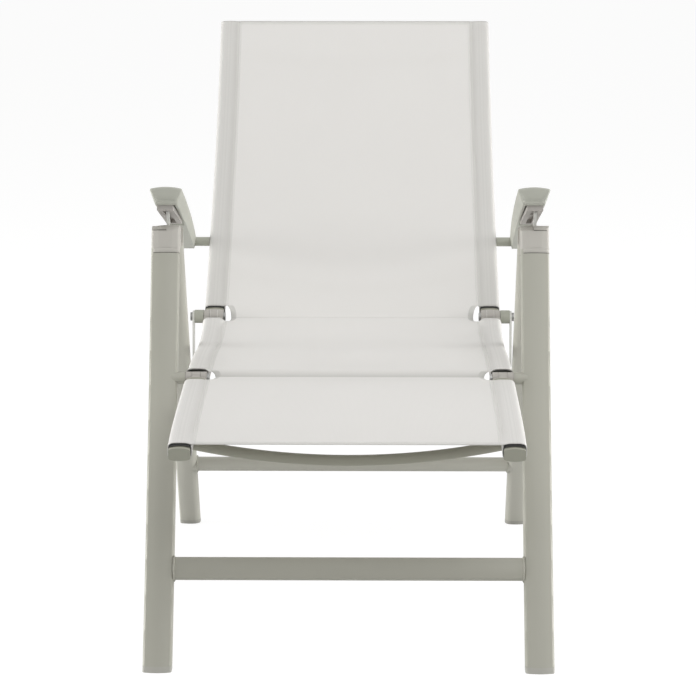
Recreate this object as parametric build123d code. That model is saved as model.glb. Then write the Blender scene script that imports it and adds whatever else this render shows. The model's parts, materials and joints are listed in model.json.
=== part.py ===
"""Reclining garden armchair with a raised footrest, folding legs and fabric slings.

Millimetres. X is across the seat, Y runs from the footrest to the backrest and Z is up.
The chair stands reclined to its last notch. Side-view places are pairs (y, z), with y counted
from the front feet, until the finished chair is centred over its own footprint.
"""

from build123d import *

import os
from math import asin, atan2, cos, degrees, pi, radians, sin

# Frame tubes and feet
half_width = 300.0
tube_wall = 1.5
tube_crown = 3.0
tube_corner = 4.0
leg_depth = 25.0
front_leg_width = 42.5
front_leg_height = 572.0
front_leg_heading = 61.4
front_leg_turn = 6.0
front_foot_y = 14.0
rear_leg_width = 35.0
rear_leg_inner_corner = 11.0
rear_leg_top_inset = 10.0
rear_leg_foot_inset = 0.8
rear_foot_y = 775.0
sole_thickness = 8.0
foot_plug = 30.0
front_bar_height = 33.0
front_bar_depth = 20.0
front_bar_station = 150.0
rear_bar_diameter = 24.0
rear_bar_station = 585.0
cope_depth = 8.0

# Leg hinge
lug_radius = 17.0
lug_gap = 0.5
hinge_rise = 22.0
lap_inset = 22.5
lap_gap = 0.2
cap_corner = 12.0
cap_rise = 15.5
cap_flat = 0.6
lip_rise = 6.0
pin_radius = 4.0
running_gap = 0.05
tongue_thickness = 4.0
tongue_radius = 6.0
tongue_height = 40.0
tongue_lean = 7.0

# Rails of seat, back and footrest
rail_width = 30.0
rail_depth = 19.0
rail_crown = 2.5
rail_corner = 3.0
rail_inset = 71.5
rail_x = half_width - rail_inset
seat_pivot_height = 394.0
seat_pivot_lead = 3.0
seat_pivot_rise = 5.0
back_pivot_rise = 12.5
seat_heading = 1.5
seat_front_length, seat_front_turn = 216.0, -8.5
seat_rear_length, seat_rear_turn = 222.0, 16.0
back_heading = 29.5
recline_range = 44.0
back_lower_length, back_lower_turn = 300.0, 3.5
back_upper_length, back_upper_turn = 420.0, 15.0
foot_heading = 179.5
foot_rear_length, foot_rear_turn = 250.0, 2.0
foot_front_length, foot_front_turn = 120.0, 7.0
end_cap_length = 4.0
end_plug_length = 18.0

# Rail hinges
knuckle_radius = 10.5
front_knuckle_radius = 9.5
knuckle_gap = 0.4
knuckle_overhang = 1.5
knuckle_share = 0.29
rear_setback = 22.0
front_setback = 15.0
bolt_head_radius = 7.0
bolt_head_height = 3.5
side_gap = 0.5
collar_radius = 11.0
collar_length = 15.0
bracket_radius = 9.0

# Link bars between the back pivot and the rear legs
link_thickness = 3.0
link_width = 20.0
link_station = 481.5
link_gap = 0.3
boss_radius = 9.0
boss_height = 2.0
joggle_share = 0.5

# Bowed cross tubes
cross_diameter = 16.0
cross_level = 2.5
foot_cross_diameter = 15.0
foot_cross_inset = 42.0
foot_cross_bow = 24.0
back_upper_station = 670.0
back_lower_station = 130.0
back_bow = 40.0
seat_cross_station = 330.0
seat_bow = 25.0

# Armrests
arm_station = 203.0
arm_length = 589.0
arm_slope = 16.3
arm_tail = 14.0
arm_overhang = 2.5
arm_outer = half_width + arm_overhang
arm_top_width_front = 50.0
arm_top_width_rear = 31.0
arm_bottom_width_front = 33.0
arm_bottom_width_rear = 24.0
arm_depth = 25.0
arm_rear_depth = 22.0
arm_crown = 3.0
arm_taper_share = 0.35
arm_sleeve_diameter = 15.5
arm_nut_radius = 6.5
arm_nut_thickness = 4.0
rack_width = 24.0
rack_recess = 1.5
rack_height = 15.0
slot_width = 9.0
slot_lead = 22.0
slot_tail = 16.0
rack_wall = 12.0
notch_count = 6
end_notch_depth = 0.5
middle_notch_depth = 3.0
slot_headroom = 0.3

# Fabric slings
fabric_thickness = 1.5
fabric_gap = 0.3
sheet_level = 6.5
sheet_end_gap = 3.0
notch_reach = 31.5
notch_half_width = rail_x - notch_reach
seat_sleeve_front = 27.0
foot_sleeve_rear = 41.0
rear_notch = 40.0
hem_overhang = 3.0
hole_gap = 3.0

overrun = 5.0
far = 2000.0

nodes = {}


def add(name, shape):
    """Adds a solid to a node: like pieces of the two sides share one node."""
    nodes[name] = nodes[name] + shape if name in nodes else shape


def walk(place, heading, length, turn):
    """Returns the place and heading at the end of an arc that turns by turn degrees over length."""
    chord = length if turn == 0 else 2 * length / radians(turn) * sin(radians(turn / 2))
    way = radians(heading + turn / 2)
    return (place[0] + chord * cos(way), place[1] + chord * sin(way)), heading + turn


def along(line, station):
    """Returns the place and heading at a distance along a side-view line of arcs."""
    place, heading, pieces = line
    for length, turn in pieces:
        if station <= length or (length, turn) == pieces[-1]:
            return walk(place, heading, station, turn * station / length)
        place, heading = walk(place, heading, length, turn)
        station -= length


def shortened(line, skip, stop):
    """Returns the same line without its first skip and its last stop millimetres."""
    place, heading, pieces = line
    pieces = list(pieces)
    length, turn = pieces[0]
    place, heading = walk(place, heading, skip, turn * skip / length)
    pieces[0] = (length - skip, turn * (length - skip) / length)
    length, turn = pieces[-1]
    pieces[-1] = (length - stop, turn * (length - stop) / length)
    return place, heading, pieces


def total(line):
    return sum(length for length, turn in line[2])


def shifted(place, heading, forward, up):
    """Moves a side-view place along a heading and square to it, up being to the left of the heading."""
    way = radians(heading)
    return (
        place[0] + forward * cos(way) - up * sin(way),
        place[1] + forward * sin(way) + up * cos(way),
    )


def turned(place, centre, angle):
    """Turns a side-view place about a centre, from the rear towards up."""
    return shifted(centre, angle, place[0] - centre[0], place[1] - centre[1])


def distance(place, other):
    return ((place[0] - other[0]) ** 2 + (place[1] - other[1]) ** 2) ** 0.5


def crowned_face(width, depth, crown):
    """A face that is crowned above and below, with flat sides and sharp corners."""
    a = width / 2
    b = depth / 2
    low = b - crown
    top = ThreePointArc((-a, low), (0, b), (a, low))
    bottom = ThreePointArc((a, -low), (0, -b), (-a, -low))
    return make_face([top, Line((a, low), (a, -low)), bottom, Line((-a, -low), (-a, low))])


def crowned(width, depth, crown, corner):
    """A section with a crowned face above and below, flat sides and rounded corners."""
    return fillet(crowned_face(width, depth, crown).vertices(), corner)


def rear_leg_section(side, wall):
    """The rear leg's section, nearly a half round on its side towards the middle of the chair."""
    face = crowned_face(rear_leg_width - 2 * wall, leg_depth - 2 * wall, tube_crown)
    outer, inner = (-1, 0) if side > 0 else (0, -1)
    face = fillet(face.vertices().group_by(Axis.X)[inner], rear_leg_inner_corner - wall)
    return fillet(face.vertices().group_by(Axis.X)[outer], tube_corner - wall)


def side_direction(heading):
    return (0, cos(radians(heading)), sin(radians(heading)))


def swept(section, line, x):
    """Turns a section along a line of arcs in the side plane at x, its y axis being the upper side."""
    place, heading, pieces = line
    solid = None
    for length, turn in pieces:
        across = (-1, 0, 0) if cos(radians(heading)) > 0 else (1, 0, 0)
        plane = Plane(origin=(x, *place), x_dir=across, z_dir=side_direction(heading))
        centre = shifted(place, heading, 0, length / radians(turn))
        axis = Axis((x, *centre), (1 if turn > 0 else -1, 0, 0))
        piece = revolve(plane * section, axis, abs(turn))
        solid = piece if solid is None else solid + piece
        place, heading = walk(place, heading, length, turn)
    return solid


def hollow(width, depth, crown, corner, wall):
    outer = crowned(width, depth, crown, corner)
    return outer - crowned(width - 2 * wall, depth - 2 * wall, crown, corner - wall)


def rod(place, x0, x1, radius):
    """A cylinder across the chair from x0 to x1 at a side-view place."""
    low, high = min(x0, x1), max(x0, x1)
    return Pos((low + high) / 2, *place) * Rot(0, 90, 0) * Cylinder(radius, high - low)


def plate(outline, x0, x1):
    """A side-view outline of places, thickened from x0 to x1."""
    low, high = min(x0, x1), max(x0, x1)
    face = make_face(Polyline(*outline, close=True))
    return extrude(Plane.YZ.offset(low) * face, high - low)


def slab(z0, z1):
    return Pos(0, 0, (z0 + z1) / 2) * Box(far, 2 * far, z1 - z0)


def block(place, heading, forward, up, x0, x1):
    """A box in the side view between two distances along and two square to a heading."""
    corners = [
        shifted(place, heading, forward[i], up[j]) for i, j in ((0, 0), (1, 0), (1, 1), (0, 1))
    ]
    return plate(corners, x0, x1)


front_leg_x = half_width - front_leg_width / 2
front_leg_inner = half_width - front_leg_width
front_leg_length = front_leg_height / sin(radians(front_leg_heading + front_leg_turn / 2))
front_leg = ((front_foot_y, 0), front_leg_heading, [(front_leg_length, front_leg_turn)])
front_leg_top, front_leg_top_heading = along(front_leg, front_leg_length)
leg_hinge = shifted(front_leg_top, front_leg_top_heading, hinge_rise, -leg_depth / 2)
lap_x = half_width - lap_inset

seat_pivot_station = front_leg_length * seat_pivot_height / front_leg_height
seat_pivot = shifted(*along(front_leg, seat_pivot_station), 0, seat_pivot_lead)
seat_start = (seat_pivot[0], seat_pivot[1] - seat_pivot_rise)
seat_line = (
    seat_start,
    seat_heading,
    [(seat_front_length, seat_front_turn), (seat_rear_length, seat_rear_turn)],
)
seat_end, seat_end_heading = along(seat_line, total(seat_line))
back_pivot = shifted(seat_end, seat_end_heading, 0, back_pivot_rise)
back_line = (
    shifted(back_pivot, back_heading, 0, -back_pivot_rise),
    back_heading,
    [(back_lower_length, back_lower_turn), (back_upper_length, back_upper_turn)],
)
foot_line = (
    seat_start,
    foot_heading,
    [(foot_rear_length, foot_rear_turn), (foot_front_length, foot_front_turn)],
)
arm_pivot, _ = along(back_line, arm_station)
tongue_tip = (leg_hinge[0] - tongue_lean, leg_hinge[1] + tongue_height)
slide_travel = distance(arm_pivot, tongue_tip) - distance(
    turned(arm_pivot, back_pivot, recline_range), tongue_tip
)
sides = {"left": -1, "right": 1}


def span(x0, x1):
    return min(x0, x1), max(x0, x1)


def lap_spans(side):
    """The X spans of the rear lug and the front lug: the rear lug is always on the viewer's left."""
    low, high = span(side * half_width, side * front_leg_inner)
    return (low, side * lap_x - lap_gap), (side * lap_x, high)


def rail_section():
    return hollow(rail_width, rail_depth, rail_crown, rail_corner, tube_wall)


def rail(line, side, skip, stop):
    return swept(rail_section(), shortened(line, skip, stop), side * rail_x)


def rail_block(line, side, skip, stop):
    """The rail without its bore, for coping what is welded to it."""
    section = crowned(rail_width, rail_depth, rail_crown, rail_corner)
    return swept(section, shortened(line, skip, stop), side * rail_x)


def end_plug(place, heading, side, cap):
    """A moulded end for a rail: a cap of the rail's section and a plug inside its bore."""
    plane = Plane(
        origin=(side * rail_x, *place), x_dir=(1, 0, 0), z_dir=side_direction(heading)
    )
    shrink = 2 * (tube_wall + fabric_gap)
    bore = crowned(
        rail_width - shrink, rail_depth - shrink, rail_crown, rail_corner - tube_wall
    )
    outer = crowned(rail_width, rail_depth, rail_crown, rail_corner)
    return extrude(plane * outer, cap) + extrude(plane * bore, -end_plug_length)


def knuckle(place, heading, upper, pivot, radius, x0, x1):
    """A hinge eye round the pivot with a neck back to the rail's end."""
    half = rail_depth / 2
    high = shifted(place, heading, 0, upper * (half - tube_wall))
    low = shifted(place, heading, 0, -upper * (half - tube_wall))
    crest = shifted(pivot, heading, 0, upper * (radius - tube_wall))
    foot = shifted(pivot, heading, 0, -upper * (radius - tube_wall))
    return rod(pivot, x0, x1, radius) + plate([high, crest, foot, low], x0, x1)


def knuckle_spans(side):
    inner = side * (rail_x - rail_width / 2)
    outer = side * (rail_x + rail_width / 2 + knuckle_overhang)
    width = (outer - inner) * knuckle_share
    fork = [(outer - width, outer), (inner, inner + width)]
    gap = side * knuckle_gap
    return fork, [(inner + width + gap, outer - width - gap)]


def hinge_end(line, side, station, outward, pivot, radius, spans):
    """The hinge end of a rail; outward is 1 where the line runs towards the pivot, else -1."""
    place, heading = along(line, station)
    if outward < 0:
        heading += 180
    upper = 1 if cos(radians(heading)) > 0 else -1
    shape = end_plug(place, heading, side, end_cap_length)
    for x0, x1 in spans:
        shape += knuckle(place, heading, upper, pivot, radius, x0, x1)
    return shape - rod(pivot, -half_width, half_width, pin_radius + running_gap)


def bowed_tube(line, station, drop, diameter, rails):
    """A cross tube that bows away from the sitter, coped to the rails at both ends."""
    place, heading = along(line, station)
    up = 1 if cos(radians(heading)) > 0 else -1
    reach = rail_x - rail_width / 2 + cope_depth / 2
    radius = (reach**2 + drop**2) / (2 * drop)
    half_turn = degrees(asin(reach / radius))
    level = -up * (drop + cross_level)
    low = shifted(place, heading, 0, level)
    axis = Axis((0, *shifted(place, heading, 0, level + up * radius)), side_direction(heading))
    ring = Circle(diameter / 2) - Circle(diameter / 2 - tube_wall)
    start = (Plane(origin=(0, *low), z_dir=(1, 0, 0)) * ring).rotate(axis, -half_turn)
    tube = revolve(start, axis, 2 * half_turn)
    for piece in rails:
        tube -= piece
    return tube


def front_frame():
    for name, side in sides.items():
        x = side * front_leg_x
        low_line = shortened(front_leg, -leg_depth, 0)
        outer = crowned(front_leg_width, leg_depth, tube_crown, tube_corner)
        leg = swept(outer, low_line, x)
        bore = swept(
            crowned(
                front_leg_width - 2 * tube_wall,
                leg_depth - 2 * tube_wall,
                tube_crown,
                tube_corner - tube_wall,
            ),
            low_line,
            x,
        )
        above = slab(sole_thickness, far)
        nodes[f"front_leg_{name}"] = (leg - bore) & above
        sole = leg & slab(0, sole_thickness)
        nodes[f"front_foot_{name}"] = sole + (bore & slab(sole_thickness, foot_plug))

        rear_span, front_span = lap_spans(side)
        tangent = side_direction(front_leg_top_heading)
        plane = Plane(origin=(x, *front_leg_top), x_dir=(1, 0, 0), z_dir=tangent)
        profile = block(
            leg_hinge, front_leg_top_heading, (-hinge_rise - overrun, cap_rise),
            (-overrun, leg_depth - cap_flat),
            *span(side * half_width, side * front_leg_inner),
        )
        edge = profile.edges().filter_by(Axis.X).sort_by(Axis.Z)[-2:].sort_by(Axis.Y)[0]
        profile = fillet(edge, cap_corner)
        cap = extrude(plane * outer, hinge_rise + cap_rise + overrun) & profile
        cap += rod(leg_hinge, *front_span, lug_radius)
        cap -= rod(leg_hinge, rear_span[0] - overrun, front_span[0], lug_radius + lug_gap)
        cap -= block(
            leg_hinge, front_leg_top_heading, (lip_rise, far), (-far, far),
            rear_span[0] - overrun, front_span[0],
        )
        pin = rod(leg_hinge, rear_span[0], front_span[1], pin_radius)
        foot = (leg_hinge[0], leg_hinge[1] + pin_radius + tongue_radius)
        x0, x1 = front_span[0], front_span[0] + tongue_thickness
        tongue = rod(tongue_tip, x0, x1, tongue_radius) + plate(
            [
                (tongue_tip[0] - tongue_radius, tongue_tip[1]),
                (foot[0] - tongue_radius, foot[1] - tongue_radius / 2),
                (foot[0] + tongue_radius, foot[1] - tongue_radius / 2),
                (tongue_tip[0] + tongue_radius, tongue_tip[1]),
            ],
            x0, x1,
        )
        nodes[f"front_hinge_cap_{name}"] = cap - pin - tongue
        add("leg_hinge_pins", pin)
        add("arm_tongues", tongue)

        inner = side * (rail_x + rail_width / 2 + knuckle_overhang + side_gap)
        bracket = rod(seat_pivot, inner, side * (front_leg_inner + cope_depth), bracket_radius)
        bolt = rod(seat_pivot, bolt_inner(side), side * front_leg_inner, pin_radius)
        head = rod(seat_pivot, bolt_inner(side), bolt_inner(side) - side * bolt_head_height,
                   bolt_head_radius)
        add("seat_brackets", bracket - leg - bolt)
        add("seat_bolts", bolt + head - leg)
        front_legs.append(leg)

    place, heading = along(front_leg, front_bar_station)
    half = front_leg_inner + cope_depth
    plane = Plane(origin=(-half, *place), x_dir=side_direction(heading), z_dir=(1, 0, 0))
    section = hollow(front_bar_height, front_bar_depth, tube_crown, tube_corner, tube_wall)
    bar = extrude(plane * section, 2 * half)
    for leg in front_legs:
        bar -= leg
    nodes["front_crossbar"] = bar


def bolt_inner(side):
    """Where the inner head of a pivot bolt bears on the innermost knuckle."""
    return side * (rail_x - rail_width / 2 - side_gap)


def rear_leg_line():
    """The rear leg's line in the side view, half its depth behind the hinge pin."""
    reach = distance(leg_hinge, (rear_foot_y, 0))
    down = degrees(asin(leg_hinge[1] / reach))
    heading = -degrees(asin(leg_depth / 2 / reach)) - down
    return shifted(leg_hinge, heading, 0, leg_depth / 2), heading, reach


def rear_leg_x(side, station):
    """The rear leg's middle in X at a distance along it: the legs splay a little."""
    share = station / rear_leg_line()[2]
    inset = rear_leg_top_inset + (rear_leg_foot_inset - rear_leg_top_inset) * share
    return side * (half_width - inset - rear_leg_width / 2)


def rear_frame():
    start, heading, reach = rear_leg_line()
    legs = []
    for name, side in sides.items():
        top = (rear_leg_x(side, hinge_rise), *shifted(start, heading, hinge_rise, 0))
        low = (rear_leg_x(side, reach + leg_depth), *shifted(start, heading, reach + leg_depth, 0))
        path = Line(top, low)
        tangent = path % 0
        across = Vector(1, 0, 0) - tangent * tangent.X
        plane = Plane(origin=path @ 0, x_dir=across, z_dir=tangent)
        length = path.length
        leg = extrude(plane * rear_leg_section(side, 0), length)
        bore = extrude(plane * rear_leg_section(side, tube_wall), length)
        nodes[f"rear_leg_{name}"] = (leg - bore) & slab(sole_thickness, far)
        sole = leg & slab(0, sole_thickness)
        nodes[f"rear_foot_{name}"] = sole + (bore & slab(sole_thickness, foot_plug))

        rear_span, front_span = lap_spans(side)
        width = rear_leg_top_inset + rear_leg_width
        middle = side * (half_width - width / 2)
        plane = Plane(origin=(middle, *start), x_dir=(1, 0, 0), z_dir=side_direction(heading))
        cap = extrude(plane * crowned(width, leg_depth, tube_crown, tube_corner), hinge_rise)
        cap &= block(leg_hinge, heading, (0, far), (-far, far), -far, far)
        cap -= rod(leg_hinge, front_span[0] - lap_gap, front_span[1] + overrun, lug_radius + lug_gap)
        inward = side * (half_width - width - overrun)
        cap -= rod(leg_hinge, *sorted((inward, side * front_leg_inner)), lug_radius + lug_gap)
        cap += rod(leg_hinge, *rear_span, lug_radius)
        cap -= rod(leg_hinge, -half_width, half_width, pin_radius + running_gap)
        nodes[f"rear_hinge_cap_{name}"] = cap - leg

        place = shifted(start, heading, link_station, 0)
        inner = side * (abs(rear_leg_x(side, link_station)) - rear_leg_width / 2)
        boss = rod(place, inner - side * boss_height, inner + side * cope_depth, boss_radius)
        add("link_bosses", boss - leg)
        legs.append(leg)
    place = shifted(start, heading, rear_bar_station, 0)
    reach = abs(rear_leg_x(1, rear_bar_station)) - rear_leg_width / 2 + cope_depth
    bar = rod(place, -reach, reach, rear_bar_diameter / 2)
    bar -= rod(place, -reach, reach, rear_bar_diameter / 2 - tube_wall)
    for leg in legs:
        bar -= leg
    nodes["rear_crossbar"] = bar


def sling(line, skip, stop, holes):
    """A stretched sheet with a sleeve round each rail, left open where cross tubes and bolts pass."""
    outer_growth = 2 * (fabric_gap + fabric_thickness)
    inner_growth = 2 * fabric_gap
    section = None
    for side in sides.values():
        outer = crowned(
            rail_width + outer_growth, rail_depth + outer_growth, rail_crown,
            rail_corner + fabric_gap + fabric_thickness,
        )
        inner = crowned(
            rail_width + inner_growth, rail_depth + inner_growth, rail_crown,
            rail_corner + fabric_gap,
        )
        ring = Pos(side * rail_x, 0) * (outer - inner)
        section = ring if section is None else section + ring
    reach = rail_x - rail_width / 2 - fabric_gap - fabric_thickness / 2
    section += Pos(0, sheet_level + fabric_thickness / 2) * Rectangle(2 * reach, fabric_thickness)
    cloth = swept(section, shortened(line, skip, stop), 0)
    for hole in holes:
        cloth -= hole
    return cloth


def notch(line, station, outward, depth):
    """The space cut out of a sling at each end of a hinge, from its end back to depth."""
    place, heading = along(line, station)
    if outward < 0:
        heading += 180
    return [
        block(place, heading, (-depth, far), (-rear_notch, rear_notch),
              *span(side * notch_half_width, side * half_width))
        for side in sides.values()
    ]


def tube_holes(line, station, diameter):
    """Clearance where a cross tube passes through the inner wall of a sling's sleeves."""
    place, heading = along(line, station)
    upper = 1 if cos(radians(heading)) > 0 else -1
    place = shifted(place, heading, 0, -upper * cross_level)
    outer = rail_x - rail_width / 2 + cope_depth
    inner = outer - rail_depth
    return [
        rod(place, side * inner, side * outer, diameter / 2 + hole_gap)
        & below(line, station) for side in sides.values()
    ]


def below(line, station):
    """Everything on the hidden side of a sling's sheet, near a station."""
    place, heading = along(line, station)
    upper = 1 if cos(radians(heading)) > 0 else -1
    top = upper * (sheet_level - fabric_gap)
    return block(place, heading, (-rear_notch, rear_notch), (-upper * far, top),
                 -half_width, half_width)


def seat():
    length = total(seat_line)
    blocks = []
    for name, side in sides.items():
        nodes[f"seat_rail_{name}"] = rail(seat_line, side, front_setback, rear_setback)
        blocks.append(rail_block(seat_line, side, front_setback, rear_setback))
        fork, _ = knuckle_spans(side)
        nodes[f"seat_rear_hinge_{name}"] = hinge_end(
            seat_line, side, length - rear_setback, 1, back_pivot, knuckle_radius, fork
        )
        nodes[f"seat_front_hinge_{name}"] = hinge_end(
            seat_line, side, front_setback, -1, seat_pivot, front_knuckle_radius, fork
        )
    nodes["seat_cross_tube"] = bowed_tube(
        seat_line, seat_cross_station, seat_bow, cross_diameter, blocks
    )
    holes = tube_holes(seat_line, seat_cross_station, cross_diameter)
    holes += notch(seat_line, 0, -1, seat_sleeve_front)
    holes += notch(seat_line, length, 1, rear_notch)
    nodes["sling_seat"] = sling(seat_line, sheet_end_gap, sheet_end_gap, holes)


def backrest():
    length = total(back_line)
    blocks = []
    for name, side in sides.items():
        bore = rod(arm_pivot, side * rail_x, side * half_width, pin_radius + running_gap)
        nodes[f"back_rail_{name}"] = rail(back_line, side, rear_setback, 0) - bore
        blocks.append(rail_block(back_line, side, rear_setback, 0))
        _, middle = knuckle_spans(side)
        nodes[f"back_knuckle_{name}"] = hinge_end(
            back_line, side, rear_setback, -1, back_pivot, knuckle_radius, middle
        )
        place, heading = along(back_line, length)
        add("back_end_caps", end_plug(place, heading, side, end_cap_length))
    holes = notch(back_line, 0, -1, rear_notch)
    for title, station in (("lower", back_lower_station), ("upper", back_upper_station)):
        nodes[f"back_cross_{title}"] = bowed_tube(
            back_line, station, back_bow, cross_diameter, blocks
        )
        holes += tube_holes(back_line, station, cross_diameter)
    holes += [
        rod(arm_pivot, side * rail_x, side * half_width, pin_radius + side_gap)
        for side in sides.values()
    ]
    stop = -end_cap_length - hem_overhang
    nodes["sling_back"] = sling(back_line, sheet_end_gap, stop, holes)


def footrest():
    length = total(foot_line)
    blocks = []
    for name, side in sides.items():
        nodes[f"foot_rail_{name}"] = rail(foot_line, side, front_setback, 0)
        blocks.append(rail_block(foot_line, side, front_setback, 0))
        _, middle = knuckle_spans(side)
        nodes[f"foot_hinge_{name}"] = hinge_end(
            foot_line, side, front_setback, -1, seat_pivot, front_knuckle_radius, middle
        )
        place, heading = along(foot_line, length)
        add("foot_end_caps", end_plug(place, heading, side, end_cap_length))
    station = length - foot_cross_inset
    nodes["foot_cross_tube"] = bowed_tube(
        foot_line, station, foot_cross_bow, foot_cross_diameter, blocks
    )
    holes = tube_holes(foot_line, station, foot_cross_diameter)
    holes += notch(foot_line, 0, -1, foot_sleeve_rear)
    nodes["sling_foot"] = sling(foot_line, sheet_end_gap, 0, holes)


def link_foot():
    """The place of the link bars' lower bolts on the rear legs."""
    start, heading, _ = rear_leg_line()
    return shifted(start, heading, link_station, 0)


def back_hinges():
    for name, side in sides.items():
        outer = side * (rail_x + rail_width / 2 + knuckle_overhang + side_gap)
        collar_end = outer + side * collar_length
        link_start = collar_end + side * link_gap
        link_end = link_start + side * link_thickness
        nut_start = link_end + side * link_gap
        nut_end = nut_start + side * bolt_head_height
        bolt = rod(back_pivot, bolt_inner(side), nut_start, pin_radius)
        bolt += rod(back_pivot, bolt_inner(side), bolt_inner(side) - side * bolt_head_height,
                    bolt_head_radius)
        add("hinge_bolts", bolt + rod(back_pivot, nut_start, nut_end, pin_radius))
        ring = rod(back_pivot, nut_start, nut_end, bolt_head_radius)
        add("hinge_nuts", ring - rod(back_pivot, nut_start, nut_end, pin_radius))
        collar = rod(back_pivot, outer, collar_end, collar_radius)
        add("hinge_collars", collar - rod(back_pivot, outer, collar_end, pin_radius))

        low = link_foot()
        leg_inner = abs(rear_leg_x(side, link_station)) - rear_leg_width / 2
        low_face = leg_inner - boss_height - link_gap
        high_face = abs(link_end)
        run = distance(back_pivot, low)
        turn = degrees(atan2(low[1] - back_pivot[1], low[0] - back_pivot[0]))
        half = link_width / 2
        bend = run * joggle_share
        square = turn + degrees(pi / 2)
        plane = Plane(
            origin=(0, *back_pivot), x_dir=side_direction(turn), z_dir=side_direction(square)
        )
        outline = [
            (-half, high_face), (bend - half, high_face), (bend + half, low_face),
            (run + half, low_face), (run + half, low_face - link_thickness),
            (bend + half, low_face - link_thickness), (bend - half, high_face - link_thickness),
            (-half, high_face - link_thickness),
        ]
        sign = side * (1 if plane.y_dir.X > 0 else -1)
        face = make_face(Polyline(*[(u, sign * v) for u, v in outline], close=True))
        strip = extrude(plane * face, half, both=True)
        ends = rod(back_pivot, -half_width, half_width, half)
        ends += rod(low, -half_width, half_width, half)
        ends += block(back_pivot, turn, (0, run), (-half, half), -half_width, half_width)
        bar = strip & ends
        bar -= rod(back_pivot, -half_width, half_width, pin_radius + running_gap)
        stud = rod(low, side * (low_face - link_thickness), side * low_face, pin_radius)
        stud += rod(low, side * (low_face - link_thickness),
                    side * (low_face - link_thickness - bolt_head_height), bolt_head_radius)
        nodes[f"link_bar_{name}"] = bar - stud
        nodes[f"link_bolt_{name}"] = stud


def arm_plane(side):
    """A plane at the arm's pivot: x forward along the arm, y across the chair, z square above."""
    slope = radians(arm_slope)
    return Plane(
        origin=(0, *arm_pivot), x_dir=(0, -cos(slope), sin(slope)), z_dir=(0, sin(slope), cos(slope))
    )


def arm_section(side, station, top_width, bottom_width, depth):
    """A section of the armrest: crowned above, drawn in below."""
    middle = arm_outer - top_width / 2
    half = depth / 2
    shoulder = half - arm_crown
    top = top_width / 2
    bottom = bottom_width / 2
    points = [(-top, shoulder), (-bottom, -half), (bottom, -half), (top, shoulder)]
    lines = [Line(points[i], points[i + 1]) for i in range(3)]
    lines.append(ThreePointArc(points[3], (0, half), points[0]))
    face = make_face(lines)
    face = fillet(face.vertices(), arm_crown)
    plane = arm_plane(side)
    origin = plane.origin + plane.x_dir * station + plane.y_dir * (side * middle)
    return Plane(origin=origin, x_dir=plane.y_dir, z_dir=plane.x_dir) * face


def arm_box(side, x0, x1, half, z0, z1):
    """A box in the arm's own directions, centred across the arm's front."""
    middle = side * (arm_outer - arm_top_width_front / 2)
    size = Box(x1 - x0, 2 * half, z1 - z0)
    return arm_plane(side) * (Pos((x0 + x1) / 2, middle, (z0 + z1) / 2) * size)


def notch_share(step):
    """How far a notch is towards the middle of the rack, from 0 at its ends to 1."""
    share = step / (notch_count - 1)
    return 4 * share * (1 - share)


def rack_slot(side, rest_x, rest_z, slot_end, slot_start):
    """The slot that the tongue slides in: its roof has a scallop at each notch."""
    middle = side * (arm_outer - arm_top_width_front / 2)
    stops = [rest_x - slide_travel * step / (notch_count - 1) for step in range(notch_count)]
    top = rest_z + tongue_radius + slot_headroom
    slot = None
    for i, (high, low) in enumerate(zip([slot_end, *stops], [*stops, slot_start])):
        share = max(0, min(notch_share(i - 1), notch_share(i)))
        depth = end_notch_depth + (middle_notch_depth - end_notch_depth) * share
        piece = arm_box(side, low, high, slot_width / 2, -arm_depth / 2 - overrun, top - depth)
        slot = piece if slot is None else slot + piece
    for x in stops:
        scallop = Cylinder(tongue_radius + slot_headroom, slot_width)
        slot += arm_plane(side) * (Pos(x, middle, rest_z) * Rot(90, 0, 0) * scallop)
    return slot


def armrests():
    for name, side in sides.items():
        plane = arm_plane(side)
        local = plane.to_local_coords(Vector(0, *tongue_tip))
        rest_x, rest_z = local.X, local.Z
        front = arm_length
        bend = arm_length * arm_taper_share
        stations = [
            (-arm_tail, arm_top_width_rear, arm_bottom_width_rear, arm_rear_depth),
            (bend, (arm_top_width_rear + arm_top_width_front) / 2,
             (arm_bottom_width_rear + arm_bottom_width_front) / 2,
             (arm_rear_depth + arm_depth) / 2),
            (front, arm_top_width_front, arm_bottom_width_front, arm_depth),
        ]
        shell = loft([arm_section(side, *row) for row in stations])
        slot_start = rest_x - slide_travel - slot_tail
        slot_end = rest_x + slot_lead
        floor = -arm_depth / 2
        cavity = arm_box(
            side, slot_start - rack_wall, slot_end + rack_wall, rack_width / 2,
            floor - overrun, floor + rack_recess + rack_height,
        )
        rack = arm_box(
            side, slot_start - rack_wall, slot_end + rack_wall, rack_width / 2,
            floor + rack_recess, floor + rack_recess + rack_height,
        )
        slot = rack_slot(side, rest_x, rest_z, slot_end, slot_start)
        sleeve_start = side * (rail_x + rail_width / 2 + knuckle_overhang + side_gap)
        deep = side * (arm_outer - arm_top_width_rear / 2)
        sleeve = rod(arm_pivot, sleeve_start, deep, arm_sleeve_diameter / 2)
        bolt_start = side * (rail_x - arm_nut_thickness)
        bolt = rod(arm_pivot, bolt_start, deep, pin_radius)
        nut = rod(arm_pivot, bolt_start, side * rail_x, arm_nut_radius)
        socket = rod(arm_pivot, sleeve_start - side * overrun, deep,
                     arm_sleeve_diameter / 2 + running_gap)
        nodes[f"armrest_{name}"] = shell - cavity - socket
        nodes[f"arm_rack_{name}"] = rack - slot
        nodes[f"arm_sleeve_{name}"] = sleeve - bolt
        nodes[f"arm_bolt_{name}"] = bolt + nut


front_legs = []
front_frame()
rear_frame()
seat()
backrest()
footrest()
back_hinges()
armrests()

whole = [shape.bounding_box() for shape in nodes.values()]
middle_y = (min(box.min.Y for box in whole) + max(box.max.Y for box in whole)) / 2

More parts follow.
